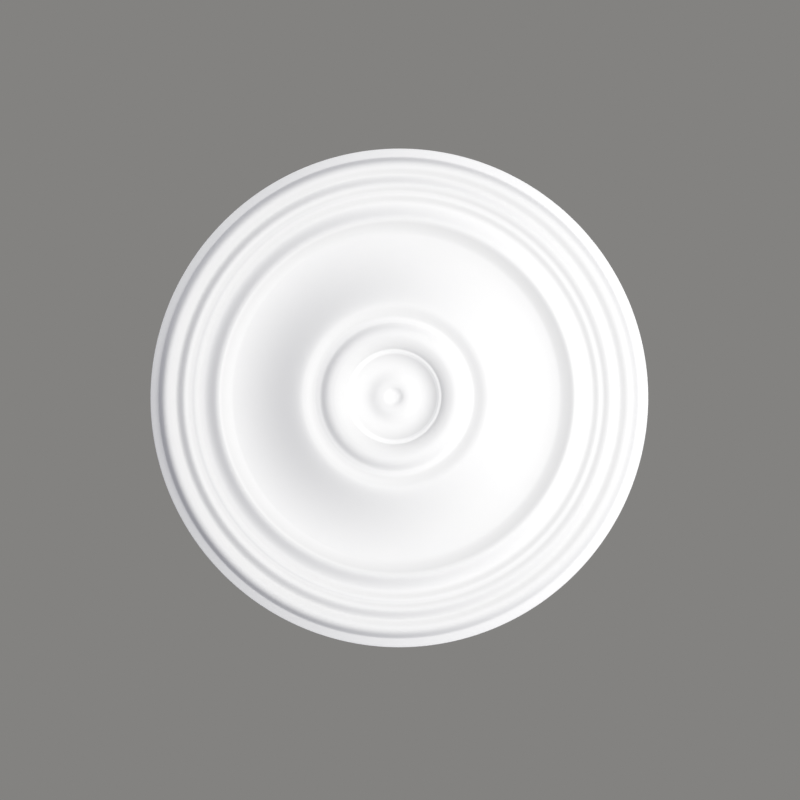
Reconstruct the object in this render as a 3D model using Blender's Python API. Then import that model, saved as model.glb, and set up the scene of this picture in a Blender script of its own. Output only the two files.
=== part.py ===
"""Ceiling rose: one round casting with a stepped border, a bell-shaped field and a dished boss.

The flat back lies against the ceiling at z = 0 and the moulded face looks down, toward -Z.
The section is drawn from the rim to the middle as (radius, drop) points, where drop is the
distance below the ceiling, and is then turned once around the Z axis.
"""

import math

import bmesh
import bpy
from mathutils import Vector

# Overall size, in metres
DIAMETER = 0.400
EDGE_DEPTH = 0.0035  # upright edge that meets the ceiling
SEGMENTS = 96  # straight sides around the circle

# Stepped border, from the rim inward
SPLAY_WIDTH = 0.0075
SPLAY_DROP = 0.0055
ROLL_WIDTH = 0.0099
ROLL_DROP = 0.0096
ROLL_FOOT_ANGLE = math.radians(56)  # the roll starts steeply above the splay
ROLL_HOLLOW_WIDTH = 0.0052
ROLL_HOLLOW_DEPTH = 0.00046
STEP_WIDTH = 0.0086
STEP_DROP = 0.00455
STEP_HOLLOW_WIDTH = 0.0049
STEP_HOLLOW_DEPTH = 0.00053
BEAD_OUTER_WIDTH = 0.0033
BEAD_OUTER_DROP = 0.00046
BEAD_INNER_WIDTH = 0.0045
BEAD_INNER_DEPTH = 0.00055
COVE_WIDTH = 0.0134
COVE_DROP = 0.0067
COVE_ANGLE = math.radians(17.5)  # steepness where the cove reaches the arris
ARRIS_WIDTH = 0.0020
ARRIS_DROP = 0.00033
FALL_WIDTH = 0.0109
FALL_DEPTH = 0.00243

# Bell-shaped field: its width is what the border and the boss leave
BELL_DROP = 0.0184

# Boss, from the bell's crest inward
COLLAR_WIDTH = 0.0090
COLLAR_DEPTH = 0.0011
FILLET_WIDTH = 0.0035
FILLET_DROP = 0.00078
FILLET_ANGLE = math.radians(10)
BROW_WIDTH = 0.0124
BROW_DROP = 0.0053
LIP_WIDTH = 0.0098
LIP_DEPTH = 0.0034
LIP_ANGLE = math.radians(41)
LEDGE_WIDTH = 0.0020
LEDGE_DEPTH = 0.0004
DISH_WIDTH = 0.0123
DISH_DEPTH = 0.0034
DISH_ANGLE = math.radians(31)
BUTTON_WIDTH = 0.0133
BUTTON_DROP = 0.00224
DIMPLE_WIDTH = 0.0097
DIMPLE_DEPTH = 0.0022

WHITE = (0.86, 0.86, 0.85, 1.0)


def straight(points, width, drop):
    """Add a straight run inward and, for a positive drop, away from the ceiling."""
    radius, depth = points[-1]
    points.append((radius - width, depth + drop))


def curve(points, width, drop, leave, arrive, steps, start=0.0, end=0.0):
    """Add a curve that leaves at the angle start and arrives at the angle end.

    Zero is level with the ceiling. leave and arrive are the reach of each end's tangent,
    as shares of the width: the larger they are, the steeper the middle is.
    """
    radius, depth = points[-1]
    first = Vector((radius, depth))
    last = Vector((radius - width, depth + drop))
    down = math.copysign(1.0, drop)
    leaving = Vector((-math.cos(start), down * math.sin(start))) * leave * width
    arriving = Vector((-math.cos(end), down * math.sin(end))) * arrive * width
    second = first + leaving
    third = last - arriving
    for step in range(1, steps + 1):
        t = step / steps
        s = 1.0 - t
        point = first * s**3 + second * 3 * s * s * t + third * 3 * s * t * t + last * t**3
        points.append((point.x, point.y))


def border(points):
    """The steps from the rim to the low ring outside the bell."""
    straight(points, SPLAY_WIDTH, SPLAY_DROP)
    curve(points, ROLL_WIDTH, ROLL_DROP, 0.55, 0.63, 5, start=ROLL_FOOT_ANGLE)
    curve(points, ROLL_HOLLOW_WIDTH, -ROLL_HOLLOW_DEPTH, 0.4, 0.4, 1)
    curve(points, STEP_WIDTH, STEP_DROP, 0.375, 0.38, 4)
    curve(points, STEP_HOLLOW_WIDTH, -STEP_HOLLOW_DEPTH, 0.4, 0.4, 1)
    curve(points, BEAD_OUTER_WIDTH, BEAD_OUTER_DROP, 0.4, 0.4, 2)
    curve(points, BEAD_INNER_WIDTH, -BEAD_INNER_DEPTH, 0.4, 0.4, 2)
    curve(points, COVE_WIDTH, COVE_DROP, 0.46, 0.26, 4, end=COVE_ANGLE)
    curve(points, ARRIS_WIDTH, ARRIS_DROP, 0.4, 0.4, 2, start=COVE_ANGLE)
    curve(points, FALL_WIDTH, -FALL_DEPTH, 0.07, 0.18, 2)


def boss_width():
    """Radius of the crest where the bell ends and the boss begins."""
    rings = COLLAR_WIDTH + FILLET_WIDTH + BROW_WIDTH + LIP_WIDTH
    return rings + LEDGE_WIDTH + DISH_WIDTH + BUTTON_WIDTH + DIMPLE_WIDTH


def bell(points):
    """The broad field, a slow curve that steepens toward the boss."""
    width = points[-1][0] - boss_width()
    curve(points, width, BELL_DROP, 0.49, 0.17, 7)


def boss(points):
    """The raised ring around the shallow dish, and the dimpled button in its middle."""
    curve(points, COLLAR_WIDTH, -COLLAR_DEPTH, 0.4, 0.4, 2)
    curve(points, FILLET_WIDTH, FILLET_DROP, 0.4, 0.3, 2, end=FILLET_ANGLE)
    curve(points, BROW_WIDTH, BROW_DROP, 0.33, 0.63, 4, start=FILLET_ANGLE)
    curve(points, LIP_WIDTH, -LIP_DEPTH, 0.16, 0.45, 3, end=LIP_ANGLE)
    straight(points, LEDGE_WIDTH, -LEDGE_DEPTH)
    curve(points, DISH_WIDTH, -DISH_DEPTH, 0.21, 0.51, 2, start=DISH_ANGLE)
    curve(points, BUTTON_WIDTH, BUTTON_DROP, 0.467, 0.487, 3)
    curve(points, DIMPLE_WIDTH, -DIMPLE_DEPTH, 0.50, 0.69, 2)


def section():
    """Half the section of the rose, from the back's edge to the middle of the face."""
    points = [(DIAMETER / 2, 0.0)]
    straight(points, 0.0, EDGE_DEPTH)
    border(points)
    bell(points)
    boss(points)
    return points


def turned_mesh(name, points):
    """Turn the section once around Z and close the back with one flat face."""
    bm = bmesh.new()
    verts = [bm.verts.new((radius, 0.0, -depth)) for radius, depth in points[:-1]]
    verts.append(bm.verts.new((0.0, 0.0, -points[-1][1])))
    edges = [bm.edges.new(pair) for pair in zip(verts, verts[1:])]
    bmesh.ops.spin(
        bm,
        geom=verts + edges,
        cent=(0.0, 0.0, 0.0),
        axis=(0.0, 0.0, 1.0),
        angle=2 * math.pi,
        steps=SEGMENTS,
        use_merge=True,
    )
    bmesh.ops.remove_doubles(bm, verts=bm.verts, dist=1e-6)
    rim = [edge for edge in bm.edges if edge.is_boundary]
    bmesh.ops.edgeloop_fill(bm, edges=rim)
    bmesh.ops.recalc_face_normals(bm, faces=bm.faces)
    mesh = bpy.data.meshes.new(name)
    bm.to_mesh(mesh)
    bm.free()
    return mesh


def primed_white():
    """Smooth factory primer, a satin white."""
    material = bpy.data.materials.new("white_primer")
    material.use_nodes = True
    shader = material.node_tree.nodes["Principled BSDF"]
    shader.inputs["Base Color"].default_value = WHITE
    shader.inputs["Roughness"].default_value = 0.5
    shader.inputs["Metallic"].default_value = 0.0
    return material


def build():
    """Make the rose, its back at the origin."""
    for old in list(bpy.data.objects):
        bpy.data.objects.remove(old)
    mesh = turned_mesh("ceiling_rose", section())
    mesh.materials.append(primed_white())
    mesh.shade_smooth()
    mesh.set_sharp_from_angle(angle=math.radians(25))
    rose = bpy.data.objects.new("ceiling_rose", mesh)
    bpy.context.scene.collection.objects.link(rose)


build()
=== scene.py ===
# %% [markdown]
# # A turned ceiling rose
# The real object is one casting of rigid foam, primed white in the factory. It was shaped as a
# turner shapes plaster: one section, run once around an axis. So its whole look comes from that
# section and from how soft light slides over it. This lesson draws the section, turns it, gives
# the face and the back their finishes, and then lights it as in the studio picture.
#
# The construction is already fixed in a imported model, which gives the size and place. It is loaded
# first, and everything made here sits exactly where it is.

# %% Load the fixed construction
import math

import bmesh
import bpy
from mathutils import Matrix, Vector


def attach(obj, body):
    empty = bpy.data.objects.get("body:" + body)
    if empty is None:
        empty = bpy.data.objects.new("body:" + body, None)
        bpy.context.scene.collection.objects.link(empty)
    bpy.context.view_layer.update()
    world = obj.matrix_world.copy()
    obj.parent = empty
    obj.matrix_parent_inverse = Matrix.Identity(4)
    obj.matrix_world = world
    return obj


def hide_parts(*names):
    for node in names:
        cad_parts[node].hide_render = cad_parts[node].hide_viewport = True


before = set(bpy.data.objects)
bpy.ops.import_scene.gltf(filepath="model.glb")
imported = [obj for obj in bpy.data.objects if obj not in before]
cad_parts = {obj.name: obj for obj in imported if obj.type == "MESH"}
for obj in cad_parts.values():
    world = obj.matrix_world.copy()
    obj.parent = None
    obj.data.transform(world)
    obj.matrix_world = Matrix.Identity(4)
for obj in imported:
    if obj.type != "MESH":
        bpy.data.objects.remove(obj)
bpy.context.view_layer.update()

# %% [markdown]
# ## Sizes
# Each ring of the section has a width and a drop, in metres, listed from the rim inward. A drop
# goes away from the ceiling and a depth goes back toward it. They are the construction's own
# sizes, so the fine surface made here lies on the solid it stands for. Keeping every ring
# separate means that one of them can change without moving the shape of the next.
#
# The tones below are painted shade and painted highlight, one where a ring starts and one where it
# ends: 0 is the primer's middle white, 1 its whitest and -1 its darkest, about a tenth either way.
# The hollows are painted darker and the rim and ridges painted whiter than one even white would be,
# whichever way they face, and the tones are matched to the picture's brightness. The cause can't be
# seen: it may be the picture's sharpening, or soft shade in the hollows. A tone past 1 or -1 makes
# up for what it loses to its neighbours when they are blended.

# %% Sizes of the section
DIAMETER = 0.400
EDGE_DEPTH = 0.0035

SPLAY_WIDTH, SPLAY_DROP = 0.0075, 0.0055
ROLL_WIDTH, ROLL_DROP = 0.0099, 0.0096
ROLL_FOOT_ANGLE = math.radians(56)
ROLL_HOLLOW_WIDTH, ROLL_HOLLOW_DEPTH = 0.0052, 0.00046
STEP_WIDTH, STEP_DROP = 0.0086, 0.00455
STEP_HOLLOW_WIDTH, STEP_HOLLOW_DEPTH = 0.0049, 0.00053
BEAD_OUTER_WIDTH, BEAD_OUTER_DROP = 0.0033, 0.00046
BEAD_INNER_WIDTH, BEAD_INNER_DEPTH = 0.0045, 0.00055
COVE_WIDTH, COVE_DROP = 0.0134, 0.0067
COVE_ANGLE = math.radians(17.5)
ARRIS_WIDTH, ARRIS_DROP = 0.0020, 0.00033
FALL_WIDTH, FALL_DEPTH = 0.0109, 0.00243

BELL_DROP = 0.0184

COLLAR_WIDTH, COLLAR_DEPTH = 0.0090, 0.0011
FILLET_WIDTH, FILLET_DROP = 0.0035, 0.00078
FILLET_ANGLE = math.radians(10)
BROW_WIDTH, BROW_DROP = 0.0124, 0.0053
LIP_WIDTH, LIP_DEPTH = 0.0098, 0.0034
LIP_ANGLE = math.radians(41)
LEDGE_WIDTH, LEDGE_DEPTH = 0.0020, 0.0004
DISH_WIDTH, DISH_DEPTH = 0.0123, 0.0034
DISH_ANGLE = math.radians(31)
BUTTON_WIDTH, BUTTON_DROP = 0.0133, 0.00224
DIMPLE_WIDTH, DIMPLE_DEPTH = 0.0097, 0.0022

# Painted shade (below 0) and painted highlight (above 0) for each ring, at its start and its end.
RIM_PAINTED_SHADING = (1.0, 1.0)
ROLL_PAINTED_SHADING = (-0.1, 0.1)
HOLLOW_PAINTED_SHADING = (-0.75, -0.75)
STEP_PAINTED_SHADING = (0.0, 0.0)
RIDGE_PAINTED_SHADING = (0.3, 0.3)
COVE_PAINTED_SHADING = (0.45, 0.45)
ARRIS_PAINTED_SHADING = (0.0, 0.0)
FALL_PAINTED_SHADING = (-1.4, 0.0)
BELL_PAINTED_SHADING = (0.1, 0.1)
COLLAR_PAINTED_SHADING = (0.0, -0.5)
FILLET_PAINTED_SHADING = (0.6, 0.6)
LIP_PAINTED_SHADING = (0.1, -0.65)
LEDGE_PAINTED_SHADING = (2.2, 2.2)
DISH_PAINTED_SHADING = (-0.9, 0.5)
DIMPLE_PAINTED_SHADING = (-0.2, 1.0)

print("the rose is", DIAMETER * 1000, "mm across")

# %% [markdown]
# ## Drawing one ring of the section
# A moulding's curves could be circular arcs, but a casting taken from a run plaster master has
# softer ones, which leave one ring at an angle and arrive at the next at another. A Bezier curve
# says just that: two end points and how far each end's tangent reaches. The points lie about a
# millimetre apart, so that light reads each curve as smooth. Each point also carries its painted
# shading, a tone of the primer that paints shade in hollows and highlight on ridges, and may change
# along the ring.

# %% Curves of the section
SPACING = 0.0009


def painted_shading_at(primer_and_shading, share):
    """The painted shading at a share of the way along a ring."""
    return primer_and_shading[0] + (primer_and_shading[1] - primer_and_shading[0]) * share


def straight(points, width, drop, primer_and_shading):
    """Add a straight run inward."""
    start = Vector(points[-1][:2])
    run = Vector((-width, drop))
    steps = max(1, round(run.length / (2 * SPACING)))
    for step in range(1, steps + 1):
        points.append((*(start + run * step / steps), painted_shading_at(primer_and_shading, step / steps)))


def curve(points, width, drop, leave, arrive, primer_and_shading, start=0.0, end=0.0):
    """Add a curve inward that leaves at the angle start and arrives at the angle end."""
    first = Vector(points[-1][:2])
    last = first + Vector((-width, drop))
    down = math.copysign(1.0, drop)
    second = first + Vector((-math.cos(start), down * math.sin(start))) * leave * width
    third = last - Vector((-math.cos(end), down * math.sin(end))) * arrive * width
    steps = max(4, round(math.hypot(width, drop) / SPACING))
    for step in range(1, steps + 1):
        t = step / steps
        s = 1.0 - t
        point = first * s**3 + second * 3 * s * s * t + third * 3 * s * t * t + last * t**3
        points.append((*point, painted_shading_at(primer_and_shading, t)))


sample = [(0.1, 0.0, 0.0)]
curve(sample, COVE_WIDTH, COVE_DROP, 0.46, 0.26, COVE_PAINTED_SHADING, end=COVE_ANGLE)
print("the cove alone takes", len(sample), "points")

# %% [markdown]
# ## The stepped border
# From the rim inward the border has a plain splay, a fat roll that starts steeply above it, a
# second step, a low bead between two hollows, and a cove that climbs to an arris. Inside the
# arris the surface falls back a little, which gives the soft ring around the bell: bright on the
# picture's left, where it faces the lamp, and dim on its right.

# %% Border
def border(points):
    """The rings from the rim to the low place outside the bell."""
    straight(points, SPLAY_WIDTH, SPLAY_DROP, RIM_PAINTED_SHADING)
    curve(points, ROLL_WIDTH, ROLL_DROP, 0.55, 0.63, ROLL_PAINTED_SHADING, start=ROLL_FOOT_ANGLE)
    curve(points, ROLL_HOLLOW_WIDTH, -ROLL_HOLLOW_DEPTH, 0.4, 0.4, HOLLOW_PAINTED_SHADING)
    curve(points, STEP_WIDTH, STEP_DROP, 0.375, 0.38, STEP_PAINTED_SHADING)
    curve(points, STEP_HOLLOW_WIDTH, -STEP_HOLLOW_DEPTH, 0.4, 0.4, HOLLOW_PAINTED_SHADING)
    curve(points, BEAD_OUTER_WIDTH, BEAD_OUTER_DROP, 0.4, 0.4, RIDGE_PAINTED_SHADING)
    curve(points, BEAD_INNER_WIDTH, -BEAD_INNER_DEPTH, 0.4, 0.4, HOLLOW_PAINTED_SHADING)
    curve(points, COVE_WIDTH, COVE_DROP, 0.46, 0.26, COVE_PAINTED_SHADING, end=COVE_ANGLE)
    curve(points, ARRIS_WIDTH, ARRIS_DROP, 0.4, 0.4, ARRIS_PAINTED_SHADING, start=COVE_ANGLE)
    curve(points, FALL_WIDTH, -FALL_DEPTH, 0.07, 0.18, FALL_PAINTED_SHADING)


face = [(DIAMETER / 2, depth, RIM_PAINTED_SHADING[0]) for depth in (0.0, EDGE_DEPTH)]
border(face)
print("the border ends at radius", round(face[-1][0] * 1000, 1), "mm")

# %% [markdown]
# ## The bell and the boss
# The bell is the broad field that rises slowly and then steeply, like the mouth of a trumpet. Its
# width is whatever the border and the boss leave. The boss is a raised ring with a small collar
# outside it, a narrow ledge inside, and a shallow dish with a dimpled button in the middle.

# %% Bell and boss
def boss(points):
    """The collar, the raised ring, the ledge, the dish and its dimpled button."""
    curve(points, COLLAR_WIDTH, -COLLAR_DEPTH, 0.4, 0.4, COLLAR_PAINTED_SHADING)
    curve(points, FILLET_WIDTH, FILLET_DROP, 0.4, 0.3, FILLET_PAINTED_SHADING, end=FILLET_ANGLE)
    curve(points, BROW_WIDTH, BROW_DROP, 0.33, 0.63, RIDGE_PAINTED_SHADING, start=FILLET_ANGLE)
    curve(points, LIP_WIDTH, -LIP_DEPTH, 0.16, 0.45, LIP_PAINTED_SHADING, end=LIP_ANGLE)
    straight(points, LEDGE_WIDTH, -LEDGE_DEPTH, LEDGE_PAINTED_SHADING)
    curve(points, DISH_WIDTH, -DISH_DEPTH, 0.21, 0.51, DISH_PAINTED_SHADING, start=DISH_ANGLE)
    curve(points, BUTTON_WIDTH, BUTTON_DROP, 0.467, 0.487, RIDGE_PAINTED_SHADING)
    curve(points, DIMPLE_WIDTH, -DIMPLE_DEPTH, 0.50, 0.69, DIMPLE_PAINTED_SHADING)


boss_rings = COLLAR_WIDTH + FILLET_WIDTH + BROW_WIDTH + LIP_WIDTH
boss_radius = boss_rings + LEDGE_WIDTH + DISH_WIDTH + BUTTON_WIDTH + DIMPLE_WIDTH
curve(face, face[-1][0] - boss_radius, BELL_DROP, 0.49, 0.17, BELL_PAINTED_SHADING)
boss(face)
face[-1] = (0.0, face[-1][1], 0.0)
print("the face has", len(face), "points and ends", round(face[-1][1] * 1000, 1), "mm down")

# %% [markdown]
# ## The back
# Nobody sees the back once the rose is up. It is the side where the mould's flat lid lay, so it is
# plain and flat. Thick foam shrinks a little as it sets, so the middle has sunk by less than half
# a millimetre, and the lid's edge left a soft round at the rim.

# %% Back of the section
SINK_DEPTH = 0.0004
SINK_RADIUS = 0.150
BACK_SPACING = 0.004


def back_points():
    """The flat back from its middle to the rim, with the slight sink over the thick foam."""
    steps = round(DIAMETER / 2 / BACK_SPACING)
    line = []
    for step in range(steps):
        radius = DIAMETER / 2 * step / steps
        share = min(radius / SINK_RADIUS, 1.0)
        line.append((radius, SINK_DEPTH * (1 - share * share) ** 2, 0.0))
    return line


outline = back_points() + face
print("the back adds", len(outline) - len(face), "points")

# %% [markdown]
# ## Soft edges
# Where two rings meet at an angle the casting isn't knife sharp: the mould's rubber and two coats
# of primer round each corner by a few tenths of a millimetre. A Bevel modifier could do it, but
# on a turned shape it is simpler to round the corners of the section before it is turned.

# %% Round the section's corners
EDGE_REACH = 0.0005
MOST_OF_RUN = 0.45
CORNER_TURN = math.radians(9)
CORNER_STEPS = 4


def rounded(points, reach):
    """Replace each corner of the section with a small curve."""
    smooth = [points[0]]
    for before, corner, after in zip(points, points[1:], points[2:]):
        here = Vector(corner[:2])
        back = Vector(before[:2]) - here
        ahead = Vector(after[:2]) - here
        if math.pi - back.angle(ahead) < CORNER_TURN:
            smooth.append(corner)
            continue
        a = here + back.normalized() * min(reach, back.length * MOST_OF_RUN)
        b = here + ahead.normalized() * min(reach, ahead.length * MOST_OF_RUN)
        for step in range(CORNER_STEPS + 1):
            t = step / CORNER_STEPS
            bend = a * (1 - t) ** 2 + here * 2 * t * (1 - t) + b * t * t
            smooth.append((*bend, corner[2]))
    smooth.append(points[-1])
    return smooth


outline = rounded(outline, EDGE_REACH)
print("the section has", len(outline), "points in all")

# %% [markdown]
# ## The painted shading has no sharp edge
# So far each ring has its own tone of painted shading, which would show as thin lines where two
# rings meet. Each point takes the average of its neighbours within two millimetres, and the narrow
# ledge around the dish was given extra to make up for it.

# %% Let the painted shading run from ring to ring
SHADING_BLEND = 0.0018


def blended(points):
    """Average the painted shading over a short stretch of the section."""
    result = []
    for radius, depth, primer_and_shading in points:
        near = [other[2] for other in points if math.dist(other[:2], (radius, depth)) <= SHADING_BLEND]
        result.append((radius, depth, sum(near) / len(near)))
    return result


outline = blended(outline)
print("painted shading from", round(min(p[2] for p in outline), 2), "to", round(max(p[2] for p in outline), 2))

# %% [markdown]
# ## Turning
# Blender's spin operator does what the plasterer's template does: it sweeps the section around
# the axis. The points on the axis come out once for each step and are merged into one. The back
# gets its own material slot, because the factory only primes the face and the edge.

# %% Turn the section
STEPS_AROUND = 320
ON_AXIS = 1e-7
MERGE_REACH = 1e-6
BACK_BAND = 0.0006


def turned(name, points):
    """A closed mesh from the section, turned once around Z, with its face looking down."""
    bm = bmesh.new()
    # Each point's painted shading is stored on the mesh as a float layer.
    shading_layer = bm.verts.layers.float.new("primer_and_shading")
    verts = []
    for radius, depth, primer_and_shading in points:
        vert = bm.verts.new((radius, 0.0, -depth))
        vert[shading_layer] = primer_and_shading
        verts.append(vert)
    edges = [bm.edges.new(pair) for pair in zip(verts, verts[1:])]
    bmesh.ops.spin(
        bm,
        geom=verts + edges,
        cent=(0.0, 0.0, 0.0),
        axis=(0.0, 0.0, 1.0),
        angle=2 * math.pi,
        steps=STEPS_AROUND,
        use_merge=True,
    )
    axis = [vert for vert in bm.verts if vert.co.xy.length < ON_AXIS]
    bmesh.ops.remove_doubles(bm, verts=axis, dist=MERGE_REACH)
    bmesh.ops.recalc_face_normals(bm, faces=bm.faces)
    for part in bm.faces:
        middle = part.calc_center_median()
        inside_rim = middle.xy.length < DIAMETER / 2 - EDGE_REACH
        part.material_index = int(middle.z > -BACK_BAND and inside_rim)
        part.smooth = True
    mesh = bpy.data.meshes.new(name)
    bm.to_mesh(mesh)
    bm.free()
    return mesh


rose = bpy.data.objects.new("turned_rose", turned("turned_rose", outline))
bpy.context.scene.collection.objects.link(rose)
triangles = sum(len(polygon.vertices) - 2 for polygon in rose.data.polygons)
print("the turned rose has", triangles, "triangles")

# %% [markdown]
# ## Sprayed primer
# The white is a thin sprayed primer. From a step away it looks flat, but close up it has a fine
# orange peel and a slow drift in gloss where the gun passed. Its colour also carries the painted
# shade and painted highlight that each ring was given.
# The face has it all over and the back has it as overspray along its edge, so it is a node group
# that both materials use. It gives out a colour, a roughness and a height, and each material sets
# its own strength.

# %% Node helpers
def add(tree, kind, inputs=None, **settings):
    """Add a node, set its properties, and set or link its inputs."""
    node = tree.nodes.new(kind)
    for key, value in settings.items():
        setattr(node, key, value)
    for socket, value in (inputs or {}).items():
        if isinstance(value, bpy.types.NodeSocket):
            tree.links.new(value, node.inputs[socket])
        else:
            node.inputs[socket].default_value = value
    return node


def new_group(name, sockets):
    """An empty shader node group with the named sockets, and its two end nodes."""
    tree = bpy.data.node_groups.new(name, "ShaderNodeTree")
    for label, direction, kind, value in sockets:
        socket = tree.interface.new_socket(label, in_out=direction, socket_type=kind)
        if value is not None:
            socket.default_value = value
    return tree, tree.nodes.new("NodeGroupInput"), tree.nodes.new("NodeGroupOutput")


print("node helpers ready")

# %% The primer group
def primer_group():
    """Sprayed primer: orange peel, slow drift in gloss, and a tone with painted shading."""
    tree, given, out = new_group(
        "sprayed_primer",
        [
            ("Peel per metre", "INPUT", "NodeSocketFloat", 620.0),
            ("Coat", "INPUT", "NodeSocketFloat", 0.0),
            ("Whitest white", "INPUT", "NodeSocketColor", (0.93, 0.93, 0.925, 1.0)),
            ("Greyest white", "INPUT", "NodeSocketColor", (0.77, 0.77, 0.765, 1.0)),
            ("Colour", "OUTPUT", "NodeSocketColor", None),
            ("Roughness", "OUTPUT", "NodeSocketFloat", None),
            ("Height", "OUTPUT", "NodeSocketFloat", None),
        ],
    )
    place = add(tree, "ShaderNodeTexCoord").outputs["Object"]
    peel = add(
        tree,
        "ShaderNodeTexNoise",
        {"Vector": place, "Scale": given.outputs["Peel per metre"], "Detail": 2.0, "Roughness": 0.45},
    )
    dust = add(
        tree,
        "ShaderNodeTexNoise",
        {"Vector": place, "Scale": 2900.0, "Detail": 3.0, "Roughness": 0.6},
    )
    passes = add(
        tree,
        "ShaderNodeTexNoise",
        {"Vector": place, "Scale": 14.0, "Detail": 4.0, "Roughness": 0.55, "Distortion": 0.6},
    )
    height = add(
        tree,
        "ShaderNodeMix",
        {"Factor": 0.22, "A": peel.outputs["Fac"], "B": dust.outputs["Fac"]},
        data_type="FLOAT",
    )
    gloss = add(
        tree,
        "ShaderNodeMapRange",
        {"Value": passes.outputs["Fac"], "From Min": 0.3, "From Max": 0.7, "To Min": 0.54, "To Max": 0.62},
    )
    rough = add(
        tree,
        "ShaderNodeMath",
        {0: dust.outputs["Fac"], 1: 0.06, 2: gloss.outputs["Result"]},
        operation="MULTIPLY_ADD",
    )
    patchy = add(
        tree,
        "ShaderNodeMapRange",
        {"Value": passes.outputs["Fac"], "From Min": 0.25, "From Max": 0.75, "To Min": 0.54, "To Max": 0.46},
    )
    # Painted shading from the section, halved, plus a faint random patchiness, sets how far the white goes
    # from greyest to whitest.
    shading_and_patches = add(
        tree,
        "ShaderNodeMath",
        {0: given.outputs["Coat"], 1: 0.5, 2: patchy.outputs["Result"]},
        operation="MULTIPLY_ADD",
    )
    tone = add(
        tree,
        "ShaderNodeMix",
        {
            "Factor": shading_and_patches.outputs[0],
            "A": given.outputs["Greyest white"],
            "B": given.outputs["Whitest white"],
        },
        data_type="RGBA",
    )
    tree.links.new(tone.outputs["Result"], out.inputs["Colour"])
    tree.links.new(rough.outputs[0], out.inputs["Roughness"])
    tree.links.new(height.outputs["Result"], out.inputs["Height"])
    return tree


primer = primer_group()
print("sprayed primer:", len(primer.nodes), "nodes")

# %% [markdown]
# ## Pinholes
# Foam that sets against a mould keeps a few tiny bubbles at its skin. On the bare back there are
# many, and under the primer a few show as faint pits. Modelled bubbles would cost far too many
# faces for holes of half a millimetre, so a Voronoi pattern marks them. Each cell has a random
# colour, and only cells above a chosen value hold a pit, which keeps them scattered.

# %% The pinhole group
def pinhole_group():
    """A mask that is 1 in scattered round pits and 0 elsewhere."""
    tree, given, out = new_group(
        "foam_pinholes",
        [
            ("Cells per metre", "INPUT", "NodeSocketFloat", 300.0),
            ("Share of cells", "INPUT", "NodeSocketFloat", 0.1),
            ("Pit size", "INPUT", "NodeSocketFloat", 0.2),
            ("Pits", "OUTPUT", "NodeSocketFloat", None),
        ],
    )
    place = add(tree, "ShaderNodeTexCoord").outputs["Object"]
    cells = add(
        tree,
        "ShaderNodeTexVoronoi",
        {"Vector": place, "Scale": given.outputs["Cells per metre"], "Randomness": 0.9},
    )
    chance = add(tree, "ShaderNodeSeparateColor", {"Color": cells.outputs["Color"]})
    chosen = add(
        tree,
        "ShaderNodeMath",
        {0: chance.outputs["Red"], 1: given.outputs["Share of cells"]},
        operation="LESS_THAN",
    )
    size = add(
        tree,
        "ShaderNodeMath",
        {0: chance.outputs["Green"], 1: given.outputs["Pit size"]},
        operation="MULTIPLY",
    )
    pit = add(
        tree,
        "ShaderNodeMapRange",
        {
            "Value": cells.outputs["Distance"],
            "From Min": size.outputs[0],
            "From Max": 0.0,
            "To Min": 0.0,
            "To Max": 1.0,
        },
    )
    mask = add(
        tree,
        "ShaderNodeMath",
        {0: pit.outputs["Result"], 1: chosen.outputs[0]},
        operation="MULTIPLY",
    )
    tree.links.new(mask.outputs[0], out.inputs["Pits"])
    return tree


pinholes = pinhole_group()
print("foam pinholes:", len(pinholes.nodes), "nodes")

# %% [markdown]
# ## The face's finish
# The face is all primer: a satin-matt white with soft reflections and no colour. Its painted shade
# and painted highlight are read from the turned mesh, where they were stored with each point. The
# orange peel is only a few hundredths of a millimetre high, so it goes in as bump. A little more of
# it would already look like rough plaster.

# %% Face material
PEEL_HEIGHT = 0.00004


def face_material():
    """White primer over the moulded face and the edge."""
    material = bpy.data.materials.new("white_primer")
    material.use_nodes = True
    tree = material.node_tree
    shader = tree.nodes["Principled BSDF"]
    # The painted shade in the hollows and painted highlight on the rim and ridges, stored on the mesh.
    stored_shading = add(tree, "ShaderNodeAttribute", attribute_name="primer_and_shading")
    primer_and_shading = add(tree, "ShaderNodeGroup", {}, node_tree=primer)
    tree.links.new(stored_shading.outputs["Fac"], primer_and_shading.inputs["Coat"])
    pits = add(tree, "ShaderNodeGroup", {}, node_tree=pinholes)
    pits.inputs["Cells per metre"].default_value = 160.0
    pits.inputs["Share of cells"].default_value = 0.012
    pits.inputs["Pit size"].default_value = 0.05
    level = add(
        tree,
        "ShaderNodeMath",
        {0: pits.outputs["Pits"], 1: -4.0, 2: primer_and_shading.outputs["Height"]},
        operation="MULTIPLY_ADD",
    )
    bump = add(
        tree,
        "ShaderNodeBump",
        {"Strength": 0.5, "Distance": PEEL_HEIGHT, "Height": level.outputs[0]},
    )
    tree.links.new(primer_and_shading.outputs["Colour"], shader.inputs["Base Color"])
    tree.links.new(primer_and_shading.outputs["Roughness"], shader.inputs["Roughness"])
    tree.links.new(bump.outputs["Normal"], shader.inputs["Normal"])
    shader.inputs["Specular IOR Level"].default_value = 0.3
    return material


face_finish = face_material()
print("face finish:", face_finish.name)

# %% [markdown]
# ## The back's finish
# The back is bare foam: a warmer white, duller, with pinholes whose insides are painted darker as
# shade, and faint rings where the mould's lid was turned. Primer drifted over its edge when the face
# was sprayed, so the white fades out over about a centimetre, with an uneven border that a noise gives.

# %% Back material
OVERSPRAY_WIDTH = 0.010
LID_RINGS_PER_METRE = 260.0
BACK_RELIEF = 0.0001
DULL_FOAM = (0.70, 0.675, 0.62, 1.0)
LIGHT_FOAM = (0.78, 0.76, 0.71, 1.0)
# Painted shade for the inside of each pinhole.
PIT_SHADE = (0.42, 0.39, 0.34, 1.0)


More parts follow.
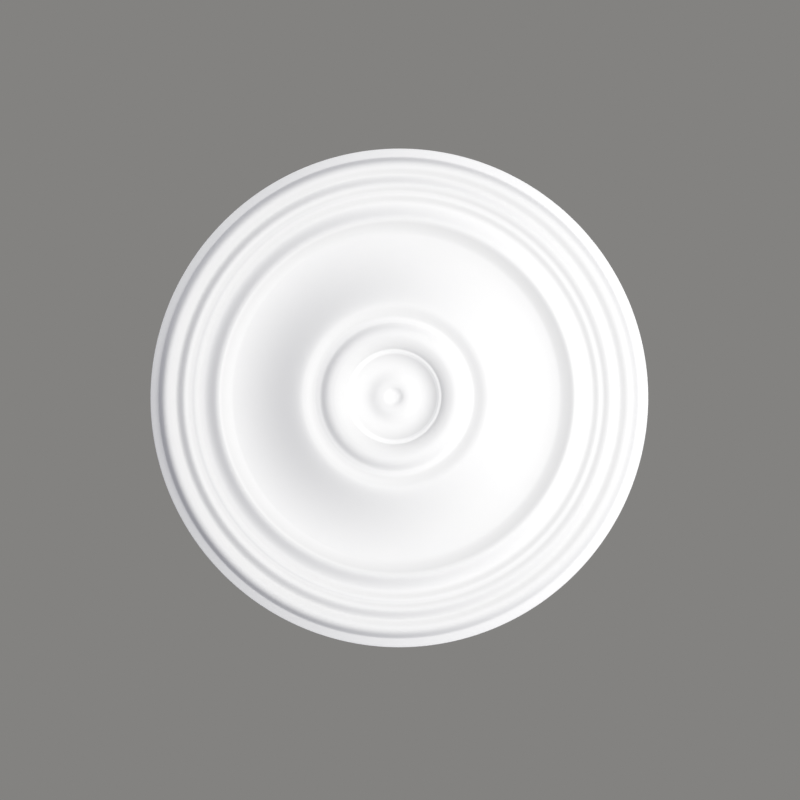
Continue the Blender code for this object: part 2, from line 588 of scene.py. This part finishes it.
def back_material():
    """Bare moulded foam with overspray along the rim."""
    material = bpy.data.materials.new("foam_back")
    material.use_nodes = True
    tree = material.node_tree
    shader = tree.nodes["Principled BSDF"]
    primer_and_shading = add(tree, "ShaderNodeGroup", {}, node_tree=primer)
    pits = add(tree, "ShaderNodeGroup", {}, node_tree=pinholes)
    pits.inputs["Cells per metre"].default_value = 240.0
    pits.inputs["Share of cells"].default_value = 0.24
    pits.inputs["Pit size"].default_value = 0.28

    place = add(tree, "ShaderNodeTexCoord").outputs["Object"]
    flat = add(tree, "ShaderNodeVectorMath", {0: place, 1: (1.0, 1.0, 0.0)}, operation="MULTIPLY")
    radius = add(tree, "ShaderNodeVectorMath", {0: flat.outputs["Vector"]}, operation="LENGTH")
    drift = add(
        tree,
        "ShaderNodeTexNoise",
        {"Vector": place, "Scale": 60.0, "Detail": 5.0, "Roughness": 0.6},
    )
    edge = add(
        tree,
        "ShaderNodeMath",
        {0: drift.outputs["Fac"], 1: OVERSPRAY_WIDTH, 2: radius.outputs["Value"]},
        operation="MULTIPLY_ADD",
    )
    spray = add(
        tree,
        "ShaderNodeMapRange",
        {
            "Value": edge.outputs[0],
            "From Min": DIAMETER / 2 - OVERSPRAY_WIDTH * 0.5,
            "From Max": DIAMETER / 2 + OVERSPRAY_WIDTH * 0.4,
        },
        interpolation_type="SMOOTHSTEP",
    )

    cloud = add(
        tree,
        "ShaderNodeTexNoise",
        {"Vector": place, "Scale": 22.0, "Detail": 5.0, "Roughness": 0.6},
    )
    foam = add(
        tree,
        "ShaderNodeMix",
        {"Factor": cloud.outputs["Fac"], "A": DULL_FOAM, "B": LIGHT_FOAM},
        data_type="RGBA",
    )
    # The pinholes painted darker, as the shade inside them.
    foam_with_pit_shade = add(
        tree,
        "ShaderNodeMix",
        {"Factor": pits.outputs["Pits"], "A": foam.outputs["Result"], "B": PIT_SHADE},
        data_type="RGBA",
    )
    colour = add(
        tree,
        "ShaderNodeMix",
        {"Factor": spray.outputs["Result"], "A": foam_with_pit_shade.outputs["Result"], "B": primer_and_shading.outputs["Colour"]},
        data_type="RGBA",
    )
    rough = add(
        tree,
        "ShaderNodeMix",
        {"Factor": spray.outputs["Result"], "A": 0.72, "B": primer_and_shading.outputs["Roughness"]},
        data_type="FLOAT",
    )

    turns = add(
        tree,
        "ShaderNodeMath",
        {0: radius.outputs["Value"], 1: LID_RINGS_PER_METRE * 2 * math.pi},
        operation="MULTIPLY",
    )
    rings = add(tree, "ShaderNodeMath", {0: turns.outputs[0]}, operation="SINE")
    faint = add(
        tree,
        "ShaderNodeMath",
        {0: rings.outputs[0], 1: 0.35, 2: cloud.outputs["Fac"]},
        operation="MULTIPLY_ADD",
    )
    level = add(
        tree,
        "ShaderNodeMath",
        {0: pits.outputs["Pits"], 1: -3.0, 2: faint.outputs[0]},
        operation="MULTIPLY_ADD",
    )
    bump = add(
        tree,
        "ShaderNodeBump",
        {"Strength": 0.6, "Distance": BACK_RELIEF, "Height": level.outputs[0]},
    )
    tree.links.new(colour.outputs["Result"], shader.inputs["Base Color"])
    tree.links.new(rough.outputs["Result"], shader.inputs["Roughness"])
    tree.links.new(bump.outputs["Normal"], shader.inputs["Normal"])
    shader.inputs["Specular IOR Level"].default_value = 0.3
    return material


back_finish = back_material()
print("back finish:", back_finish.name)

# %% [markdown]
# ## Put the rose in its place
# The turned mesh already lies where the construction is: its back at z = 0. It stands for the one
# solid, whose own mesh is hidden, and rides on the one body.

# %% Dress the construction
rose.data.materials.append(face_finish)
rose.data.materials.append(back_finish)
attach(rose, "root")
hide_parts("ceiling_rose")
print("the rose spans", [round(v, 4) for v in rose.dimensions], "m")

# %% [markdown]
# ## Floor and backdrop
# The rose hangs over a plain pale floor, far below, which sends soft light up onto the face. The
# floor fades out with distance, so that no horizon cuts through the views from the side. The
# picture's background is an even mid grey, which the world gives, and the world's own light is a
# little cooler than the lamp's.

# %% Floor
FLOOR_DROP = 8.5
FLOOR_RADIUS = 24.0
FADE_START = 11.0
FADE_END = 22.0


def floor_material():
    """Pale floor that fades out with distance."""
    material = bpy.data.materials.new("pale_floor")
    material.use_nodes = True
    tree = material.node_tree
    shader = tree.nodes["Principled BSDF"]
    shader.inputs["Base Color"].default_value = (0.78, 0.78, 0.78, 1.0)
    shader.inputs["Roughness"].default_value = 0.9
    place = add(tree, "ShaderNodeTexCoord").outputs["Object"]
    away = add(tree, "ShaderNodeVectorMath", {0: place}, operation="LENGTH")
    fade = add(
        tree,
        "ShaderNodeMapRange",
        {
            "Value": away.outputs["Value"],
            "From Min": FADE_START,
            "From Max": FADE_END,
            "To Min": 1.0,
            "To Max": 0.0,
        },
        interpolation_type="SMOOTHSTEP",
    )
    tree.links.new(fade.outputs["Result"], shader.inputs["Alpha"])
    return material


floor_mesh = bpy.data.meshes.new("floor")
shape = bmesh.new()
bmesh.ops.create_circle(shape, cap_ends=True, radius=FLOOR_RADIUS, segments=96)
shape.to_mesh(floor_mesh)
shape.free()
floor_mesh.materials.append(floor_material())
floor = bpy.data.objects.new("floor", floor_mesh)
floor.location.z = -FLOOR_DROP
bpy.context.scene.collection.objects.link(floor)
print("floor", FLOOR_DROP, "m below the ceiling")

# %% World
GREY = (0.2270, 0.2232, 0.2159, 1.0)
SKY_LIGHT = (0.327, 0.330, 0.369, 1.0)


def studio_world():
    """Mid-grey backdrop for the camera and soft, slightly cool light for everything else."""
    world = bpy.data.worlds.new("studio")
    world.use_nodes = True
    tree = world.node_tree
    tree.nodes.clear()
    backdrop = add(tree, "ShaderNodeBackground", {"Color": GREY})
    glow = add(tree, "ShaderNodeBackground", {"Color": SKY_LIGHT})
    path = add(tree, "ShaderNodeLightPath")
    mix = add(
        tree,
        "ShaderNodeMixShader",
        {0: path.outputs["Is Camera Ray"], 1: glow.outputs[0], 2: backdrop.outputs[0]},
    )
    add(tree, "ShaderNodeOutputWorld", {"Surface": mix.outputs[0]})
    return world


bpy.context.scene.world = studio_world()
bpy.context.scene.view_settings.view_transform = "Standard"
print("world ready")

# %% [markdown]
# ## Light
# The picture's shading says where the lamp stood: every slope that faces right is bright, those
# that face left are dim, and there is hardly any difference between up and down. That is one big
# soft lamp, about 30 degrees off the rose's axis on the right, and soft light all round. Two more
# soft lamps stand above, for the back, where the first can't reach.

# %% Lamps
KEY_DIRECTION = Vector((0.506, -0.036, -0.862))
KEY_DISTANCE = 9.0
KEY_SIZE = 2.6
KEY_WATTS = 718.0
KEY_COLOUR = (1.0, 0.994, 0.968)
BACK_LAMP_SIZE = 1.5
BACK_LEFT_PLACE, BACK_LEFT_WATTS = (-1.6, -1.0, 1.7), 28.0
BACK_RIGHT_PLACE, BACK_RIGHT_WATTS = (1.2, 1.6, 1.7), 18.0


def soft_lamp(name, place, size, watts, colour=(1.0, 1.0, 1.0)):
    """A square area lamp that points at the rose and isn't seen by the camera."""
    light = bpy.data.lights.new(name, "AREA")
    light.shape = "SQUARE"
    light.size = size
    light.energy = watts
    light.color = colour
    lamp = bpy.data.objects.new(name, light)
    lamp.location = place
    lamp.rotation_euler = Vector(place).to_track_quat("Z", "Y").to_euler()
    lamp.visible_camera = False
    bpy.context.scene.collection.objects.link(lamp)
    return lamp


key_place = KEY_DIRECTION.normalized() * KEY_DISTANCE
soft_lamp("key_lamp", key_place, KEY_SIZE, KEY_WATTS, KEY_COLOUR)
soft_lamp("back_lamp_left", BACK_LEFT_PLACE, BACK_LAMP_SIZE, BACK_LEFT_WATTS)
soft_lamp("back_lamp_right", BACK_RIGHT_PLACE, BACK_LAMP_SIZE, BACK_RIGHT_WATTS)
print("three soft lamps, the key", KEY_WATTS, "W at", KEY_DISTANCE, "m")

# %% [markdown]
# ## Camera
# The camera looks up at the ceiling with a long lens, and stands a little to the right of and
# below the middle of the picture. That shows in the rings: the raised ones sit slightly left of
# the outline's centre, because they stand out toward the lens.

# %% Camera
CAMERA_DISTANCE = 2.0
LEAN_RIGHT = math.radians(3.8)
LEAN_DOWN = math.radians(1.0)
IMAGE_PIXELS = 800
OUTLINE_PIXELS = 249.16
CENTRE_PIXEL = (399.3, 397.9)
RIM_SAMPLES = 180


def photo_camera():
    """Camera below the rose, its image right along +X and its image up along -Y."""
    backward = Vector((math.sin(LEAN_RIGHT), math.sin(LEAN_DOWN), 0.0))
    backward.z = -math.sqrt(1.0 - backward.length_squared)
    right = Vector((0.0, -1.0, 0.0)).cross(backward).normalized()
    up = backward.cross(right)
    camera = bpy.data.objects.new("photo_camera", bpy.data.cameras.new("photo_camera"))
    turn = Matrix((right, up, backward)).transposed().to_4x4()
    camera.matrix_world = Matrix.Translation(backward * CAMERA_DISTANCE) @ turn
    bpy.context.scene.collection.objects.link(camera)
    return camera


def frame_outline(camera):
    """Set lens and shift so that the rim's outline has the picture's size and place."""
    to_camera = camera.matrix_world.inverted()
    slopes = []
    for step in range(RIM_SAMPLES):
        angle = step * math.tau / RIM_SAMPLES
        rim = Vector((math.cos(angle), math.sin(angle), 0.0)) * DIAMETER / 2
        seen = to_camera @ (rim - Vector((0.0, 0.0, EDGE_DEPTH)))
        slopes.append((-seen.x / seen.z, -seen.y / seen.z))
    low = [min(slope[i] for slope in slopes) for i in (0, 1)]
    high = [max(slope[i] for slope in slopes) for i in (0, 1)]
    radius = (high[0] - low[0] + high[1] - low[1]) / 4
    data = camera.data
    data.sensor_width = 36.0
    data.lens = OUTLINE_PIXELS / radius * data.sensor_width / IMAGE_PIXELS
    reach = data.lens / data.sensor_width
    half = IMAGE_PIXELS / 2
    data.shift_x = (low[0] + high[0]) / 2 * reach - (CENTRE_PIXEL[0] - half) / IMAGE_PIXELS
    data.shift_y = (low[1] + high[1]) / 2 * reach + (CENTRE_PIXEL[1] - half) / IMAGE_PIXELS


camera = photo_camera()
frame_outline(camera)
bpy.context.scene.camera = camera
print("lens", round(camera.data.lens, 1), "mm at", CAMERA_DISTANCE, "m")

# %% [markdown]
# ## Bring the scene up to date
# The fine surface should stay inside the construction's box. Here the scene is only brought up to
# date.

# %% Finish
bpy.context.view_layer.update()
